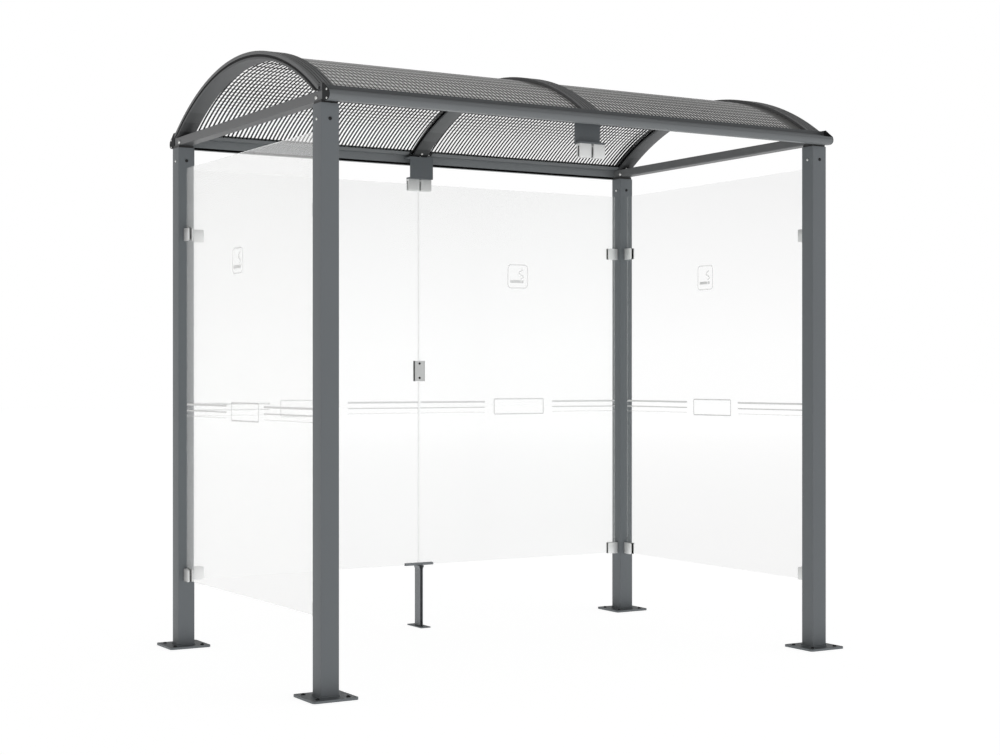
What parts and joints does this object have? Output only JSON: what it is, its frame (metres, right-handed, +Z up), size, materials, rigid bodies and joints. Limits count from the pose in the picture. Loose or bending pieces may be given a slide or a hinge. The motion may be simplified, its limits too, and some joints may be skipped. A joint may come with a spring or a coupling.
{
  "type": "smoking shelter",
  "caption": "Open-fronted smoking shelter with square posts, a low arched roof of cellular sheet between two gutters, and glass side and rear panels held by steel clips.",
  "frame": {"origin": "on the ground, in the middle of the shelter's footprint", "axes": "+X along the shelter to the right as seen from its open front, +Y to the rear, +Z up"},
  "size_m": [2.74, 1.78, 2.684],
  "materials": {
    "post_paint": "satin grey powder coat",
    "roof_paint": "satin grey powder coat",
    "dark_trim": "satin dark paint",
    "black_rubber": "matt",
    "roof_sheet": "cellular sheet, translucent",
    "glass": "clear, polished",
    "brushed_steel": "brushed"
  },
  "bodies": {
    "root": {"post_front_left": "post_paint", "post_front_right": "post_paint", "post_rear_left": "post_paint", "post_rear_right": "post_paint", "base_plate_front_left": "post_paint", "base_plate_front_right": "post_paint", "base_plate_rear_left": "post_paint", "base_plate_rear_right": "post_paint", "head_plates": "dark_trim", "side_rail_left": "roof_paint", "side_rail_right": "roof_paint", "gutter_front": "roof_paint", "gutter_rear": "roof_paint", "gutter_caps_front": "dark_trim", "gutter_caps_rear": "dark_trim", "arch_left": "roof_paint", "arch_middle": "roof_paint", "arch_right": "roof_paint", "arch_cover_left": "roof_paint", "arch_cover_middle": "roof_paint", "arch_cover_right": "roof_paint", "roof_seal_left": "black_rubber", "roof_seal_middle": "black_rubber", "roof_seal_right": "black_rubber", "roof_sheet_left": "roof_sheet", "roof_sheet_right": "roof_sheet", "glass_left": "glass", "glass_right": "glass", "glass_rear_left": "glass", "glass_rear_right": "glass", "clips_front_left": "brushed_steel", "clips_front_right": "brushed_steel", "clips_rear_left": "brushed_steel", "clips_rear_right": "brushed_steel", "hanger_front": "post_paint", "hanger_rear": "post_paint", "hanger_clips_front": "brushed_steel", "hanger_clips_rear": "brushed_steel", "glass_linings": "black_rubber", "glass_joint_plates": "brushed_steel", "glass_foot": "post_paint", "glass_foot_plate": "post_paint"}
  },
  "joints": []
}
